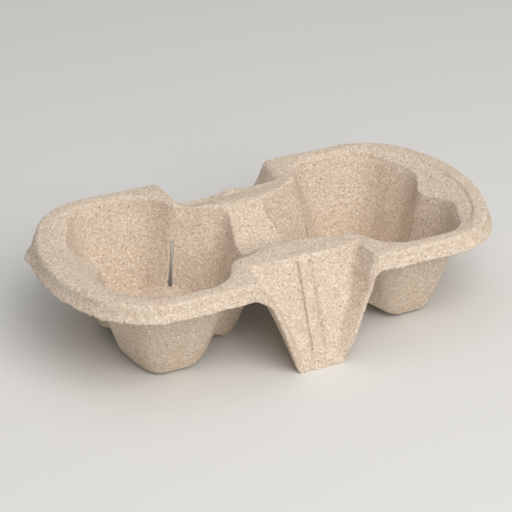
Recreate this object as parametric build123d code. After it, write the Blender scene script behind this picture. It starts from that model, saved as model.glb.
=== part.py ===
"""Carrier for two take-away cups, moulded in one piece from paper pulp.

Two deep pockets with three flexing petals each hang from a flat flange with a turned-down skirt.
Between them a saddle dips from pad to pad, and a splayed leg stands in the middle of each long side.
Millimetres, +X along the tray, +Z up, origin on the table under the middle.
"""

import os
from math import cos, radians, sin

from build123d import *

# Whole tray
height = 48.0
wall = 2.0

# Flange, measured from the middle of the tray to its top fold
flange_end = 103.6
flange_side = 54.0
end_radius = 75.0
corner_radius = 34.0
fold_radius = 1.4
step_inset = 6.6
step_depth = 0.8
step_start = 44.0

# Skirt turned down from the flange
skirt_height = 7.6
skirt_flare = 1.6

# Leg in the middle of each long side, below a notch in the flange
notch_half = 27.0
notch_lean = 1.5
notch_floor = 36.2
notch_fillet = 4.0
foot_half = 11.0
foot_lean = 3.0
foot_depth = 1.4
foot_reach = 57.3
foot_fillet = 3.0
arch_fillet = 8.0
rib_width = 6.0
rib_height = 1.1
rib_start = 1.0
rib_ramp = 3.0

# Saddle between the pockets
pad_drop = 1.5
pad_inner = 22.0
pad_end = 22.0
valley_drop = 13.0
valley_half = 4.0
crest_fillet = 4.0
valley_fillet = 9.0

# Pocket below its rolled mouth, inside
mouth_inner = 8.0
mouth_inner_half = 21.5
mouth_cusp = (31.5, 30.0)
mouth_side = 46.0
mouth_side_start = 38.0
mouth_side_stop = 75.0
mouth_end = 89.0
mouth_end_half = 16.0
mouth_end_cusp = 79.5
mouth_inner_fillet = 8.0
mouth_side_fillet = 17.0
mouth_cusp_fillet = 8.0
mouth_roll = 2.6

# Pocket just above its rounded feet, inside
foot_inner = 20.0
foot_inner_half = 12.5
foot_cusp = (37.8, 21.5)
foot_side = 33.0
foot_side_start = 48.0
foot_side_stop = 69.0
foot_end = 74.5
foot_end_half = 12.0
foot_end_cusp = 71.5
foot_inner_fillet = 7.0
foot_side_fillet = 8.5
foot_cusp_fillet = 3.0
foot_round = 7.0
foot_sole = 2.0
foot_roll = 5.5
foot_half_roll = 2.4

# Sloped shoulder round the pocket mouth
shoulder_inset = 8.6
shoulder_depth = 4.0
shoulder_run = 12.0

# Slits that let the petals flex, and the ridges of the floor that run up to them
slit_top = 31.0
slit_top_width = 0.7
slit_foot_width = 2.0
slit_foot = 10.0
slit_reach = 14.0
slit_bite = 4.0
ridge_top = 12.0
ridge_middle = 5.0
ridge_sheet = 2.3
ridge_outer = 26.0
ridge_inner = 18.0
ridge_end = 29.0
pocket_middle = 55.0


def tray_outline(z, inset):
    """Plan of the tray at one level: two swelling ends joined by the bridge between two notches."""
    fall = 1 - z / height
    spread = skirt_flare / skirt_height * (height - z)
    end = flange_end + spread - inset
    side = flange_side + spread - inset
    radius = end_radius + spread - inset
    corner_x = flange_end - end_radius + (radius**2 - side**2) ** 0.5
    lean = notch_lean + (foot_lean - notch_lean) * fall
    floor_x = notch_half + (foot_half - wall - foot_lean - notch_half) * fall + inset
    floor_y = notch_floor + (foot_reach - foot_depth - notch_floor) * fall - inset
    mouth_x = floor_x + lean
    mouth_y = flange_side + (foot_reach - flange_side) * fall - inset
    right = [
        Line((floor_x, -floor_y), (mouth_x, -mouth_y)),
        Line((mouth_x, -mouth_y), (corner_x, -side)),
        ThreePointArc((corner_x, -side), (end, 0), (corner_x, side)),
        Line((corner_x, side), (mouth_x, mouth_y)),
        Line((mouth_x, mouth_y), (floor_x, floor_y)),
    ]
    left = [edge.mirror(Plane.YZ) for edge in right]
    floors = [Line((-floor_x, y), (floor_x, y)) for y in (floor_y, -floor_y)]
    face = make_face(right + left + floors)
    corners = [v for v in face.vertices() if abs(abs(v.X) - corner_x) < wall]
    face = fillet(corners, corner_radius)
    folds = [
        face.vertices().sort_by_distance((x * turn, y * flip, 0))[0]
        for x, y in ((floor_x, floor_y), (mouth_x, mouth_y))
        for turn in (1, -1)
        for flip in (1, -1)
    ]
    return fillet(folds, notch_fillet + (foot_depth / 2 - notch_fillet) * fall)


def envelope(inset, rolls):
    """Solid inside the tray's skin down to the table, where only the legs reach, with a rolled top."""
    levels = [(0, inset)]
    for roll in rolls:
        level = height - fold_radius * (1 - sin(radians(roll)))
        levels.append((level, inset + fold_radius * (1 - cos(radians(roll)))))
    return loft([Pos(Z=z) * tray_outline(z, inset) for z, inset in levels], ruled=True)


def pocket_outline(inner, inner_half, cusp, start, stop, side, end, end_half, end_cusp, radii):
    """Plan of one pocket at one level: three petals that meet in three inward cusps."""
    front = [(inner, inner_half), cusp, (start, side), (stop, side), (end, end_half)]
    back = [(x, -y) for x, y in reversed(front)]
    face = make_face(Polyline(*front, (end_cusp, 0), *back, close=True))
    inner_radius, side_radius, cusp_radius = radii
    rounds = (
        (front[:1] + back[-1:], inner_radius),
        (front[2:] + back[:3], side_radius),
        ([front[1], back[3], (end_cusp, 0)], cusp_radius),
    )
    for points, radius in rounds:
        corners = [face.vertices().sort_by_distance((x, y, 0))[0] for x, y in points]
        face = fillet(corners, radius)
    return face


def pocket(grow, low):
    """Solid of one pocket from its rounded feet at low to its rolled mouth, grown by the wall."""
    mouth = pocket_outline(
        mouth_inner, mouth_inner_half, mouth_cusp, mouth_side_start, mouth_side_stop,
        mouth_side, mouth_end, mouth_end_half, mouth_end_cusp,
        (mouth_inner_fillet, mouth_side_fillet, mouth_cusp_fillet),
    )
    foot = pocket_outline(
        foot_inner, foot_inner_half, foot_cusp, foot_side_start, foot_side_stop,
        foot_side, foot_end, foot_end_half, foot_end_cusp,
        (foot_inner_fillet, foot_side_fillet, foot_cusp_fillet),
    )
    levels = [
        (foot, low, grow - foot_roll),
        (foot, low + foot_sole, grow - foot_half_roll),
        (foot, foot_round, grow),
        (mouth, height - mouth_roll - grow, grow),
    ]
    for roll in (30, 60, 90):
        rise = mouth_roll * (1 - sin(radians(roll)))
        levels.append((mouth, height - rise - grow, grow + mouth_roll * (1 - cos(radians(roll)))))
    levels.append((mouth, height + wall / 2 - grow, grow + mouth_roll))
    return loft([Pos(Z=z) * (offset(face, out) if out else face) for face, z, out in levels], ruled=True)


def both(shape):
    """A shape of the right half with its mirror image in the left half."""
    return shape + shape.mirror(Plane.YZ)


skin = envelope(0, (0, 30, 60, 90))
cavity = pocket(0, wall)
shell = pocket(wall, 0)

# Band of skirt and legs: the skin of the envelope, cut away below the skirt except at the legs
leg_top = notch_half + notch_lean + wall
span = flange_end + skirt_flare * 2
skirt_low = height - skirt_height
leg_at_skirt = foot_half + (leg_top - foot_half) * skirt_low / height
keep = make_face(
    Polyline(
        (-span, height), (-span, skirt_low), (-leg_at_skirt, skirt_low), (-foot_half, 0),
        (foot_half, 0), (leg_at_skirt, skirt_low), (span, skirt_low), (span, height), close=True,
    )
)
spans = [v for v in keep.vertices() if abs(abs(v.X) - leg_at_skirt) < wall]
keep = fillet(spans, arch_fillet)
feet = [v for v in keep.vertices() if v.Y < wall]
keep = fillet(feet, foot_fillet)
keep = extrude(Plane.XZ * keep, 2 * flange_side, both=True)
band = (skin - Pos(Z=-wall) * envelope(wall, (0, 90))) & keep

# Saddle: a sheet that dips between the pads, open to the pockets, and rises to the flange at its ends
pad_top = height - pad_drop
valley_top = pad_top - valley_drop
over = 2 * height
saddle_reach = notch_half + notch_lean + wall / 2
pad_reach = notch_floor + wall / 2
crest = [(-pad_inner, pad_top), (pad_inner, pad_top)]
valley = [(-valley_half, valley_top), (valley_half, valley_top)]
air = make_face(
    Polyline(
        (-pad_reach, over), (-pad_reach, pad_top), crest[0], *valley, crest[1],
        (pad_reach, pad_top), (pad_reach, over), close=True,
    )
)
for points, radius in ((crest, crest_fillet), (valley, valley_fillet)):
    corners = [air.vertices().sort_by_distance((y, z, 0))[0] for y, z in points]
    air = fillet(corners, radius)
air = extrude(Plane.YZ * air, saddle_reach, both=True)
rise = make_face(
    Polyline(
        (-pad_end, 0), (-pad_end, pad_top), (-notch_half, height), (-saddle_reach, over),
        (saddle_reach, over), (notch_half, height), (pad_end, pad_top), (pad_end, 0), close=True,
    )
)
air = air & extrude(Plane.XZ * rise, over, both=True)
slope = (valley_drop**2 + (pad_inner - valley_half) ** 2) ** 0.5 / (pad_inner - valley_half)
bridge = Pos(Z=-wall * slope) * air - air
bridge = bridge & Box(2 * saddle_reach, 2 * notch_floor, over)

# Rib down the middle of each leg
splay = (foot_reach - foot_depth - notch_floor) / height
rib_top = height - rib_start
rib_full = rib_top - rib_ramp
rib = make_face(
    Polyline(
        (notch_floor + splay * rib_start - wall, rib_top), (notch_floor + splay * rib_start, rib_top),
        (notch_floor + splay * (height - rib_full) + rib_height, rib_full),
        (notch_floor + splay * height + rib_height, 0), (notch_floor + splay * height - wall, 0), close=True,
    )
)
rib = extrude(Plane.YZ * rib, rib_width / 2, both=True)
ribs = rib + rib.mirror(Plane.XZ)


def inset_lobe(inset):
    """Right half of the flange outline, inset, from beside the notch to the end."""
    side = flange_side - inset
    radius = end_radius - inset
    corner_x = flange_end - end_radius + (radius**2 - side**2) ** 0.5
    face = make_face(
        [
            Polyline((corner_x, side), (step_start, side), (step_start, -side), (corner_x, -side)),
            ThreePointArc((corner_x, side), (flange_end - inset, 0), (corner_x, -side)),
        ]
    )
    corners = [v for v in face.vertices() if v.X > step_start + wall]
    return fillet(corners, corner_radius - inset)


def shoulder(grow):
    """Funnel from the flange down into the pocket, grown by the wall for its underside."""
    low = Pos(Z=height - step_depth - shoulder_depth) * inset_lobe(shoulder_inset + shoulder_run - grow)
    return loft([low, Pos(Z=height - step_depth) * inset_lobe(shoulder_inset - grow)], ruled=True)


# Shoulder sloping from the flange into the pocket, inside a shallow step
step = extrude(Pos(Z=height - step_depth) * inset_lobe(step_inset), height)
funnel = shoulder(0)
under_funnel = Pos(Z=-wall / 2) * shoulder(wall)


def cusp_plane(x, y):
    """Upright plane across a cusp, facing away from the middle of the pocket."""
    away = Vector(x - pocket_middle, y)
    return Plane(origin=(x, y, 0), x_dir=Vector(0, 0, 1).cross(away), z_dir=away)


def slit(cusp):
    """Cutter of one slit, through the wall along the cusp's own direction."""
    profile = make_face(
        Polyline(
            (-slit_foot_width / 2, slit_foot), (-slit_top_width / 2, slit_top),
            (slit_top_width / 2, slit_top), (slit_foot_width / 2, slit_foot), close=True,
        )
    )
    profile = cusp_plane(*cusp) * profile
    return extrude(profile, slit_reach) + extrude(profile, -slit_bite)


def ridge(cusp, near, far):
    """Tent over the floor, from the middle of the pocket up to a cusp and on through the wall."""
    outer = cusp_plane(*cusp) * make_face(Polyline((-near, 0), (0, ridge_top), (far, 0), close=True))
    share = ridge_middle / ridge_top
    ends = Polyline((-near * share, 0), (0, ridge_middle), (far * share, 0), close=True)
    plane = cusp_plane(*cusp)
    middle = Plane(origin=(pocket_middle, 0, 0), x_dir=plane.x_dir, z_dir=plane.z_dir) * make_face(ends)
    return loft([middle, outer], ruled=True) + extrude(outer, slit_reach)


# Slits at the cusps, and the ridges that raise the floor into an arch below each of them
end_cusp = (foot_end_cusp, 0)
side_slit = slit(foot_cusp)
slits = side_slit + side_slit.mirror(Plane.XZ) + slit(end_cusp)
side_ridge = ridge(foot_cusp, ridge_outer, ridge_inner)
ridges = side_ridge + side_ridge.mirror(Plane.XZ) + ridge(end_cusp, ridge_end, ridge_end)
arches = Pos(Z=-ridge_sheet) * ridges

# Tray
tray = band + (both(shell + under_funnel) & skin) + bridge + ribs
tray = tray - both(cavity - ridges + step + funnel) - air
tray = tray - both(arches + slits)
os.makedirs("parts", exist_ok=True)
export_step(tray, "parts/carrier_tray.step")
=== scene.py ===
import math

import bmesh
import bpy
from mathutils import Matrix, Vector, noise


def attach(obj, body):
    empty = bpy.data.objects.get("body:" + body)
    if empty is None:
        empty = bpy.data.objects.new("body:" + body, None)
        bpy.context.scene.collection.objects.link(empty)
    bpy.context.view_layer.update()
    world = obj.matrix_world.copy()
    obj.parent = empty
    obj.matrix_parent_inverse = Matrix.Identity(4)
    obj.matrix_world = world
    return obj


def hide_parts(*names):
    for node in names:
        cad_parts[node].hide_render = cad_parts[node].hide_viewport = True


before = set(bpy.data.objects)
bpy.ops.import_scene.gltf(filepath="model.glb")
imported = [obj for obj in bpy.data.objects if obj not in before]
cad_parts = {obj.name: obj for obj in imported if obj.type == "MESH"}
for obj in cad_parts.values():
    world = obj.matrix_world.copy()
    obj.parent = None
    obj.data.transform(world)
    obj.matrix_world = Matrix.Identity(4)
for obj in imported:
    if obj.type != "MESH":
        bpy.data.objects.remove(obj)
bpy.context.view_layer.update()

# Carrier tray: one sheet of grey-brown paper pulp, sucked onto a wire mould and dried in one piece.
# Its folds come off the mould soft, its faces keep a felted grain, and its skirt is left as it tore.
node_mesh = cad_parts["carrier_tray"].data
tray = bpy.data.objects.new("pulp_tray", node_mesh.copy())
bpy.context.scene.collection.objects.link(tray)
tray.data.materials.clear()


def settle(piece):
    """Turns what a piece's modifiers show into its own mesh."""
    shown = piece.evaluated_get(bpy.context.evaluated_depsgraph_get())
    mesh = bpy.data.meshes.new_from_object(shown)
    piece.modifiers.clear()
    piece.data = mesh


def ramp(value, start, stop):
    """Eased share of the way from start to stop, between 0 and 1."""
    share = min(max((value - start) / (stop - start), 0.0), 1.0)
    return share * share * (3 - 2 * share)


# Slits between the petals: the left pocket's stand a little open, the right pocket's are nearly shut.
# Pairs of numbers here and below are the start and stop of a ramp, in metres.
pocket_middle = 0.055
slit_lines = [(0.0378, 0.0215), (0.0715, 0.0)]
slit_centre = 0.003
slit_length = (0.012, 0.008)
lip_width = (0.0032, 0.0014)
slit_low = 0.0115
slit_low_blend = 0.003
slit_high = 0.034
slit_high_blend = 0.004
slit_opened = -0.8
slit_shut = 0.10
opened_above = (0.020, 0.030)
weld_distance = 0.00001


def lips_drawn(x, y, z, share):
    """Sideways move that draws a slit's lips together, or apart where share is below 0."""
    for slit_x, slit_y in slit_lines:
        away = Vector((slit_x - pocket_middle, slit_y)).normalized()
        from_slit = Vector((abs(x) - slit_x, abs(y) - slit_y))
        along = from_slit.dot(away)
        aside = from_slit.x * away.y - from_slit.y * away.x
        near = ramp(abs(aside), *lip_width) * ramp(abs(along - slit_centre), *slit_length)
        low_end = ramp(z, slit_low, slit_low + slit_low_blend)
        high_end = ramp(z, slit_high + slit_high_blend, slit_high)
        rise = low_end * high_end
        pull = -aside * share * near * rise
        if pull:
            move = Vector((away.y, -away.x, 0)) * pull
            return Vector((math.copysign(move.x, move.x * x), math.copysign(move.y, move.y * y), 0))
    return Vector((0, 0, 0))


sheet = bmesh.new()
sheet.from_mesh(tray.data)
bmesh.ops.remove_doubles(sheet, verts=sheet.verts, dist=weld_distance)
for vertex in sheet.verts:
    if vertex.co.x < 0:
        vertex.co += lips_drawn(*vertex.co, slit_opened * ramp(vertex.co.z, *opened_above))
sheet.to_mesh(tray.data)
sheet.free()

felt = tray.modifiers.new("felt", "REMESH")
felt.mode = "VOXEL"
felt.voxel_size = 0.0005
felt.use_smooth_shade = True
soft = tray.modifiers.new("soft_folds", "SMOOTH")
soft.factor = 0.5
soft.iterations = 1
settle(tray)

# Places where the sheet turns over softly: the saddle's crests, the pocket mouths and walls, the feet,
# and most of all the shoulders where two petals meet at a mouth
flange_side = 0.054
end_centre = 0.0286
end_radius = 0.075
corner_blend = 0.0064

crest_softness = 0.7
crest_across = (0.024, 0.018)
crest_along = (0.033, 0.027)
crest_height = (0.026, 0.032)

mouth_softness = 0.28
wall_softness = 0.20
pocket_inset = (-0.0075, -0.0105)
pocket_start = (0.022, 0.028)
mouth_height = (0.034, 0.040)

foot_softness = 0.60
foot_height = (0.013, 0.009)
foot_start = (0.016, 0.020)

mouth_cusps = [(0.0795, 0.0), (0.0315, 0.0300)]
cusp_reach = (0.013, 0.006)
cusp_height = (0.032, 0.037)
cusp_inset = (-0.009, -0.012)


def beyond_fold(x, y):
    """Distance outside the flange's top fold, seen from above; negative inside it."""
    past_side = max(abs(y) - flange_side + corner_blend, 0.0)
    past_end = max(math.hypot(abs(x) - end_centre, y) - end_radius + corner_blend, 0.0)
    return math.hypot(past_side, past_end) - corner_blend


def softness(x, y, z):
    """How far a fold at this place is rounded, between 0 and 1."""
    crest = crest_softness * ramp(abs(x), *crest_across) * ramp(abs(y), *crest_along)
    crest *= ramp(z, *crest_height)
    inside = ramp(beyond_fold(x, y), *pocket_inset) * ramp(abs(x), *pocket_start)
    mouth = mouth_softness * inside * ramp(z, *mouth_height)
    wall = wall_softness * inside * ramp(z, *mouth_height[::-1])
    foot = foot_softness * ramp(z, *foot_height) * ramp(abs(x), *foot_start)
    return max(crest, mouth, wall, foot)


def cusp_softness(x, y, z):
    """The same for the shoulders where two petals meet at a mouth."""
    away = min(math.hypot(abs(x) - cusp_x, abs(y) - cusp_y) for cusp_x, cusp_y in mouth_cusps)
    return ramp(away, *cusp_reach) * ramp(z, *cusp_height) * ramp(beyond_fold(x, y), *cusp_inset)


turned = tray.vertex_groups.new(name="turned_folds")
shoulders = tray.vertex_groups.new(name="shoulders")
for vertex in tray.data.vertices:
    for group, hold in ((turned, softness(*vertex.co)), (shoulders, cusp_softness(*vertex.co))):
        if hold > 0:
            group.add([vertex.index], hold, "REPLACE")
turn = tray.modifiers.new("turned_folds", "SMOOTH")
turn.factor = 0.5
turn.iterations = 36
turn.vertex_group = turned.name
sink = tray.modifiers.new("shoulders", "SMOOTH")
sink.factor = 0.5
sink.iterations = 160
sink.vertex_group = shoulders.name
settle(tray)

# Warp of drying, which leaves the soles flat. Waves are a height, a scale and a shift of a noise.
drying_waves = [
    (0.00040, 24, Vector((3.1, 7.7, 1.3))),
    (0.00013, 150, Vector((9.2, 0.4, 5.5))),
]
above_sole = (0.0, 0.004)

# Leg ends worn level with the leg's face
leg_top_reach = 0.0362
leg_foot_reach = 0.0559
leg_height = 0.048
leg_half_width = 0.018
leg_level = 0.75
leg_end = (0.009, 0.001)

# Front leg's side edges, drawn to the right by more on the left edge and higher up
left_cheek = (0.0008, 0.0016)
left_cheek_rise = (0.0, 0.028)
right_cheek = 0.0012
cheek_depth = 0.006
cheek_inner = (0.006, 0.011)
cheek_outer = (0.036, 0.030)
cheek_height = (0.0395, 0.034)

# Back pad, sunk by more to the left, and the right side of the back notch
back_pad_sunk = 0.0014
pad_lean = (0.004, -0.024)
pad_back = (0.024, 0.035)
pad_width = (0.030, 0.026)
pad_height = (0.034, 0.042)
back_notch = 0.0030
notch_inner = (0.012, 0.024)
notch_outer = (0.048, 0.031)
notch_back = (0.034, 0.044)

# Ribs of the legs: the crest stands up at the top, with a groove pressed along each side
rib_crest = 0.0009
rib_width = (0.0045, 0.0020)
rib_start = (0.032, 0.0355)
rib_stop = 0.040
rib_height = (0.038, 0.044)
rib_line = 0.0033
rib_grooves = {"left": (0.0007, 0.0018), "right": (0.0014, 0.0013)}
groove_bottom = 0.0002
groove_reach = 0.006
groove_start = 0.036
groove_top = 0.044
groove_foot = (0.003, 0.010)

# Skirt, flared and torn along its lower edge, with a corner bent out at the back left
flange_top = 0.0475
skirt_top = 0.0445
skirt_low = 0.0404
skirt_inset = -0.0035
skirt_start = (0.029, 0.040)
skirt_flare = 0.0010
tear_waves = [
    (0.0007, 60, Vector((0.7, 2.9, 8.1))),
    (0.0004, 190, Vector((2.4, 6.9, 3.3))),
    (0.0008, 640, Vector((4.4, 1.2, 6.3))),
]
bent_corner = Vector((-0.1014, 0.0239))
bent_reach = 0.011
bent_out = 0.0030

# Step round the right end, pressed sharp on its upper face
step_start = 0.044
step_above = 0.044
step_facing = 0.3
step_line = -0.0064
step_groove = 0.0007
step_near = (-0.0003, 0.0003)
step_far = (0.0024, 0.0010)


def waved(place, waves):
    """Sum of noise waves at a place."""
    return sum(height * noise.noise(place * scale + shift) for height, scale, shift in waves)


surface = bmesh.new()
surface.from_mesh(tray.data)
surface.normal_update()
moves = []
for vertex in surface.verts:
    place = vertex.co
    x, y, z = place
    move = vertex.normal * (waved(place, drying_waves) * ramp(z, *above_sole))
    move += lips_drawn(x, y, z, slit_shut if x > 0 else slit_shut * ramp(z, *opened_above[::-1]))
    leg_face = leg_top_reach + (leg_foot_reach - leg_top_reach) * (1 - z / leg_height)
    if abs(x) < leg_half_width and abs(y) > leg_face:
        move.y -= math.copysign((abs(y) - leg_face) * leg_level * ramp(z, *leg_end), y)
    if abs(x) < cheek_outer[0] and y < cheek_depth - leg_face and z < cheek_height[0]:
        narrowed = left_cheek[0] + left_cheek[1] * ramp(z, *left_cheek_rise)
        cheek = ramp(abs(x), *cheek_inner) * ramp(abs(x), *cheek_outer) * ramp(z, *cheek_height)
        move.x += cheek * (narrowed if x < 0 else right_cheek)
    if y > pad_back[0] and abs(x) < pad_width[0] and z > pad_height[0]:
        sunk = back_pad_sunk * (1 + ramp(x, *pad_lean))
        move.z -= sunk * ramp(y, *pad_back) * ramp(abs(x), *pad_width) * ramp(z, *pad_height)
    if abs(x) < rib_width[0] and rib_start[0] < abs(y) < rib_stop and z > rib_height[0]:
        raised = rib_crest * ramp(abs(x), *rib_width) * ramp(abs(y), *rib_start)
        move.z += raised * ramp(z, *rib_height)
    if x > 0 and y > notch_back[0]:
        move.x -= back_notch * ramp(x, *notch_inner) * ramp(x, *notch_outer) * ramp(y, *notch_back)
    if beyond_fold(x, y) > skirt_inset and z < flange_top and abs(x) > skirt_start[0]:
        hang = ramp(z, skirt_top, skirt_low) * ramp(abs(x), *skirt_start)
        move.z += hang * waved(place, tear_waves)
        outward = Vector((math.copysign(max(abs(x) - end_centre, 0.0), x), y, 0)).normalized()
        near = max(1 - (place.xy - bent_corner).length / bent_reach, 0.0)
        lowness = min((flange_top - z) / (flange_top - skirt_low), 1.0)
        move += outward * (skirt_flare * hang + bent_out * near * lowness)
    if x > step_start and z > step_above and vertex.normal.z > step_facing:
        inward = step_line - beyond_fold(x, y)
        move.z -= step_groove * ramp(inward, *step_near) * ramp(inward, *step_far)
    on_leg = abs(x) < groove_reach and abs(y) > groove_start and z < groove_top
    if on_leg and vertex.normal.y * y > 0:
        groove, half_width = rib_grooves["left" if x < 0 else "right"]
        groove *= ramp(z, *groove_foot) * ramp(abs(abs(x) - rib_line), half_width, groove_bottom)
        move -= vertex.normal * groove
    move.z = max(move.z, -z)
    moves.append(move)
for vertex, move in zip(surface.verts, moves):
    vertex.co += move
surface.to_mesh(tray.data)
surface.free()

triangle_limit = 190000
triangles = sum(len(face.vertices) - 2 for face in tray.data.polygons)
thin = tray.modifiers.new("fewer_faces", "DECIMATE")
thin.ratio = min(1.0, triangle_limit / triangles)
settle(tray)
for face in tray.data.polygons:
    face.use_smooth = True


class Field:
    """A value that varies over the pulp; sums of fields add their Math nodes."""

    def __init__(self, tree, socket):
        self.tree = tree
        self.socket = socket

    def node(self, kind, settings=None, output=0, **inputs):
        made = self.tree.nodes.new(kind)
        for name, value in (settings or {}).items():
            setattr(made, name, value)
        for name, value in inputs.items():
            key = int(name[1:]) if name[1:].isdigit() else name.replace("_", " ")
            socket = made.inputs[key]
            if isinstance(value, Field):
                self.tree.links.new(value.socket, socket)
            else:
                socket.default_value = value
        return Field(self.tree, made.outputs[output])

    def math(self, operation, first, second=0.0):
        return self.node("ShaderNodeMath", {"operation": operation}, _0=first, _1=second)

    def __add__(self, other):
        return self.math("ADD", self, other)

    def __radd__(self, other):
        return self.math("ADD", other, self)

    def __sub__(self, other):
        return self.math("SUBTRACT", self, other)

    def __rsub__(self, other):
        return self.math("SUBTRACT", other, self)

    def __mul__(self, other):
        return self.math("MULTIPLY", self, other)

    def __rmul__(self, other):
        return self.math("MULTIPLY", other, self)

    def __lt__(self, other):
        return self.math("LESS_THAN", self, other)

    def __abs__(self):
        return self.math("ABSOLUTE", self)

    def eased(self, start, stop):
        return self.node(
            "ShaderNodeMapRange", {"interpolation_type": "SMOOTHSTEP"},
            Value=self, From_Min=start, From_Max=stop, To_Min=0.0, To_Max=1.0,
        )

    def tint(self, colour, share):
        colour_mix = {"data_type": "RGBA"}
        return self.node("ShaderNodeMix", colour_mix, output=2, _0=share, _6=self, _7=colour)


pulp = bpy.data.materials.new("paper_pulp")
pulp.use_nodes = True
tree = pulp.node_tree
shader = tree.nodes["Principled BSDF"]
coordinates = tree.nodes.new("ShaderNodeTexCoord")
at = Field(tree, coordinates.outputs["Object"])


def clouds(scale, detail, roughness, swirl=0.0, shift=(0.0, 0.0, 0.0)):
    """Soft random field with features of about one over scale, in metres."""
    place = at.node("ShaderNodeMapping", Vector=at, Location=shift)
    return at.node(
        "ShaderNodeTexNoise",
        Vector=place, Scale=scale, Detail=detail, Roughness=roughness, Distortion=swirl,
    )


def strands(scale, width, swirl, shift):
    """Thin curled fibres: the lines where a swirling field crosses its middle, broken into lengths."""
    field = clouds(scale, detail=1.0, roughness=0.4, swirl=swirl, shift=shift)
    line = abs(field - 0.5).eased(width, width * 0.35)
    breaks = clouds(scale * 1.3, detail=0.0, roughness=0.5, shift=shift[::-1])
    return line * breaks.eased(0.46, 0.56)


def specks(scale, radius, share):
    """Small round spots, in some of the cells of a random pattern."""
    cell = {"feature": "F1", "distance": "EUCLIDEAN"}
    near = at.node("ShaderNodeTexVoronoi", cell, Vector=at, Scale=scale, Randomness=1.0)
    chance = at.node("ShaderNodeTexVoronoi", cell, output=1, Vector=at, Scale=scale, Randomness=1.0)
    lot = at.node("ShaderNodeSeparateColor", _0=chance)
    return (1 - near.eased(radius * 0.5, radius)) * (lot < share)


mottle = clouds(scale=40.0, detail=3.0, roughness=0.55)
curd = clouds(scale=820.0, detail=2.0, roughness=0.55, swirl=0.8)
grain = clouds(scale=3200.0, detail=1.0, roughness=0.65, swirl=0.4)
long_pale = strands(scale=620.0, width=0.09, swirl=1.4, shift=(3.1, 0.7, 5.2))
short_pale = strands(scale=800.0, width=0.09, swirl=1.2, shift=(8.4, 2.6, 1.9))
pale = long_pale + short_pale
dark = strands(scale=700.0, width=0.07, swirl=1.3, shift=(1.7, 9.3, 4.4))
flecks = specks(scale=240.0, radius=0.12, share=0.06)
pits = specks(scale=430.0, radius=0.20, share=0.13)

pulp_brown = (0.720, 0.570, 0.430, 1)
pulp_light = (0.760, 0.610, 0.470, 1)
grain_dark = (0.44, 0.315, 0.22, 1)
fibre_pale = (0.93, 0.83, 0.71, 1)
curd_brown = (0.54, 0.405, 0.29, 1)
fibre_dark = (0.42, 0.30, 0.21, 1)
fleck_brown = (0.17, 0.12, 0.085, 1)
pit_brown = (0.19, 0.135, 0.095, 1)

body = at.node(
    "ShaderNodeMix", {"data_type": "RGBA"}, output=2,
    _0=mottle.eased(0.3, 0.7), _6=pulp_brown, _7=pulp_light,
)
body = body.tint(grain_dark, grain.eased(0.50, 0.32))
body = body.tint(fibre_pale, grain.eased(0.53, 0.70) * 0.82)
body = body.tint(curd_brown, curd.eased(0.46, 0.30) * 0.30)
body = body.tint(fibre_pale, pale * 0.65)
body = body.tint(fibre_dark, dark * 0.60)
body = body.tint(fleck_brown, flecks * 0.85)
body = body.tint(pit_brown, pits * 0.8)
tree.links.new(body.socket, shader.inputs["Base Color"])
rough = 0.86 + grain * 0.12
tree.links.new(rough.socket, shader.inputs["Roughness"])
shader.inputs["Specular IOR Level"].default_value = 0.25
relief = grain * 0.6 + curd * 0.6 + pale * 0.35 - dark * 0.2 - pits * 0.8
bump = at.node("ShaderNodeBump", Strength=0.7, Distance=0.0005, Height=relief)
tree.links.new(bump.socket, shader.inputs["Normal"])
tray.data.materials.append(pulp)
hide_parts("carrier_tray")
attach(tray, "root")

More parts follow.
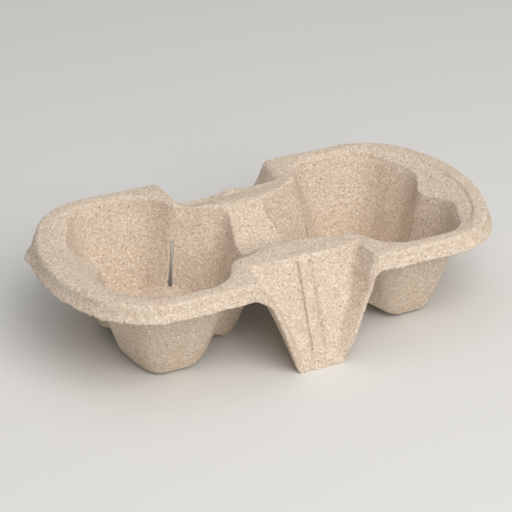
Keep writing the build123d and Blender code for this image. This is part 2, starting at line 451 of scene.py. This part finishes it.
# Floor: a wide plain pale sheet under the tray, well past the view on every side.
# It only carries the tray's soft shadow.
floor_mesh = bpy.data.meshes.new("floor")
ground = bmesh.new()
bmesh.ops.create_grid(ground, x_segments=1, y_segments=1, size=6.0)
ground.to_mesh(floor_mesh)
ground.free()
floor = bpy.data.objects.new("floor", floor_mesh)
bpy.context.scene.collection.objects.link(floor)
pale_floor = bpy.data.materials.new("pale_floor")
pale_floor.use_nodes = True
floor_shader = pale_floor.node_tree.nodes["Principled BSDF"]
floor_shader.inputs["Base Color"].default_value = (0.72, 0.71, 0.69, 1)
floor_shader.inputs["Roughness"].default_value = 0.9
floor_mesh.materials.append(pale_floor)

# Light: a large soft lamp high in front, a little to the right, a wider one overhead, and a dim
# even surround. Faces turned to the left get a little less of the first lamp.
key_data = bpy.data.lights.new("key", "AREA")
key_data.shape = "DISK"
key_data.size = 1.6
key_data.energy = 21.5
key_data.color = (1.0, 0.98, 0.95)
key = bpy.data.objects.new("key", key_data)
key.location = (0.10, -1.12, 1.06)
key_aim = Vector((0, 0, 0.03))
key.rotation_euler = (key.location - key_aim).to_track_quat("Z", "Y").to_euler()
bpy.context.scene.collection.objects.link(key)
top_data = bpy.data.lights.new("top", "AREA")
top_data.shape = "DISK"
top_data.size = 2.2
top_data.energy = 7.8
top_data.color = (0.96, 0.98, 1.0)
top = bpy.data.objects.new("top", top_data)
top.location = (0.0, -0.1, 1.7)
bpy.context.scene.collection.objects.link(top)
surround = bpy.data.worlds.new("surround")
surround.use_nodes = True
background = surround.node_tree.nodes["Background"]
background.inputs["Color"].default_value = (0.98, 0.99, 1.0, 1)
background.inputs["Strength"].default_value = 0.30
bpy.context.scene.world = surround

# Camera: long lens from the front left, looking down on the tray.
# It stands about 0.9 m off, so the far end shrinks only a little.
camera_data = bpy.data.cameras.new("camera")
camera_data.sensor_width = 36.0
camera_data.lens = 140.6
camera_data.clip_end = 50.0
camera = bpy.data.objects.new("camera", camera_data)
camera.location = (-0.3528, -0.7113, 0.4542)
camera_aim = Vector((0.0023, 0.0128, 0.0219))
camera.rotation_euler = (camera.location - camera_aim).to_track_quat("Z", "Y").to_euler()
bpy.context.scene.collection.objects.link(camera)
bpy.context.scene.camera = camera
bpy.context.scene.view_settings.view_transform = "Standard"
